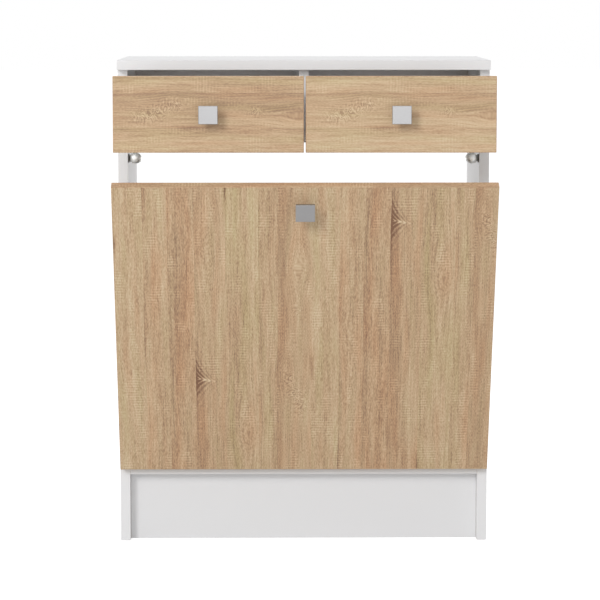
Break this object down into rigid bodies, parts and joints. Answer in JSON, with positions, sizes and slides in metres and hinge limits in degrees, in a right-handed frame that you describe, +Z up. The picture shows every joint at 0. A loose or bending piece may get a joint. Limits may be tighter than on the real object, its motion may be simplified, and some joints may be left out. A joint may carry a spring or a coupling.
{
  "type": "low bathroom cabinet",
  "caption": "Low white bathroom cabinet with oak-decor fronts: drawers side by side over a tilt-out laundry bin, on a recessed plinth.",
  "frame": {"origin": "on the floor, under the middle of the plinth board", "axes": "+Z up, +X to the right seen from the front, +Y to the back; the drawers and the bin open towards -Y"},
  "size_m": [0.6, 0.5072, 0.786],
  "materials": {
    "white_board": "satin white melamine on chipboard",
    "oak_decor": "rough-sawn oak decor foil, matt",
    "white_hardboard": "white lacquered hardboard",
    "beech": "fluted beech dowels",
    "coated_steel": "white epoxy coated steel",
    "zinc_steel": "bright zinc plated steel",
    "satin_nickel": "satin nickel plated zinc casting",
    "chrome": "polished chrome",
    "dark_plastic": "dark moulded plastic",
    "nylon": "white nylon"
  },
  "bodies": {
    "case": {"side_panel_left": "white_board", "side_panel_right": "white_board", "top_panel": "white_board", "bottom_panel": "white_board", "plinth_board": "white_board", "divider_panel": "white_board", "rear_rail_upper": "white_board", "rear_rail_lower": "white_board", "cam_discs": "zinc_steel", "cam_bolts": "zinc_steel", "case_dowels": "beech", "case_screws": "zinc_steel", "case_runner_1": "coated_steel", "case_runner_2": "coated_steel", "case_runner_3": "coated_steel", "case_runner_4": "coated_steel", "catch_bases": "dark_plastic", "catch_balls": "chrome", "stop_studs": "zinc_steel", "hinge_leaves_case": "zinc_steel", "hinge_pins": "zinc_steel"},
    "left_drawer": {"left_drawer_front": "oak_decor", "left_drawer_side_outer": "white_board", "left_drawer_side_inner": "white_board", "left_drawer_back": "white_board", "left_drawer_bottom": "white_hardboard", "left_drawer_handle": "satin_nickel", "left_handle_screw": "zinc_steel", "left_drawer_runner_outer": "coated_steel", "left_drawer_runner_inner": "coated_steel", "left_drawer_screws": "zinc_steel", "left_drawer_dowels": "beech"},
    "right_drawer": {"right_drawer_front": "oak_decor", "right_drawer_side_outer": "white_board", "right_drawer_side_inner": "white_board", "right_drawer_back": "white_board", "right_drawer_bottom": "white_hardboard", "right_drawer_handle": "satin_nickel", "right_handle_screw": "zinc_steel", "right_drawer_runner_outer": "coated_steel", "right_drawer_runner_inner": "coated_steel", "right_drawer_screws": "zinc_steel", "right_drawer_dowels": "beech"},
    "laundry_bin": {"tilt_door": "oak_decor", "tilt_door_handle": "satin_nickel", "door_handle_screw": "zinc_steel", "bin_wing_left": "white_board", "bin_wing_right": "white_board", "bin_back": "white_hardboard", "bin_floor": "white_board", "bin_dowels": "beech", "bin_brackets": "zinc_steel", "strike_buttons": "zinc_steel", "hinge_leaves_door": "zinc_steel", "door_screws": "zinc_steel"},
    "left_front_rollers": {"left_front_rollers": "nylon"},
    "left_rear_rollers": {"left_rear_rollers": "nylon"},
    "right_front_rollers": {"right_front_rollers": "nylon"},
    "right_rear_rollers": {"right_rear_rollers": "nylon"}
  },
  "joints": [
    {"name": "left_drawer_slide", "type": "slide", "parent": "case", "child": "left_drawer", "axis": [0, -1, 0], "range_m": [-0.134, 0.056]},
    {"name": "right_drawer_slide", "type": "slide", "parent": "case", "child": "right_drawer", "axis": [0, -1, 0], "range_m": [-0.134, 0.056]},
    {"name": "laundry_bin_tilt", "type": "hinge", "parent": "case", "child": "laundry_bin", "pos_m": [0, -0.02695, 0.12905], "axis": [1, 0, 0], "range_deg": [-22.5, 0]},
    {"name": "left_front_rollers_turn", "type": "hinge", "parent": "case", "child": "left_front_rollers", "pos_m": [-0.146, -0.014, 0.6692], "axis": [1, 0, 0], "continuous": true},
    {"name": "left_rear_rollers_turn", "type": "hinge", "parent": "left_drawer", "child": "left_rear_rollers", "pos_m": [-0.146, 0.0775, 0.6668], "axis": [1, 0, 0], "continuous": true},
    {"name": "right_front_rollers_turn", "type": "hinge", "parent": "case", "child": "right_front_rollers", "pos_m": [0.146, -0.014, 0.6692], "axis": [1, 0, 0], "continuous": true},
    {"name": "right_rear_rollers_turn", "type": "hinge", "parent": "right_drawer", "child": "right_rear_rollers", "pos_m": [0.146, 0.0775, 0.6668], "axis": [1, 0, 0], "continuous": true}
  ],
  "couplings": [
    {"joint": "left_front_rollers_turn", "follows": "left_drawer_slide", "rad_per_m": 117.65},
    {"joint": "left_rear_rollers_turn", "follows": "left_drawer_slide", "rad_per_m": 117.65},
    {"joint": "right_front_rollers_turn", "follows": "right_drawer_slide", "rad_per_m": 117.65},
    {"joint": "right_rear_rollers_turn", "follows": "right_drawer_slide", "rad_per_m": 117.65}
  ]
}
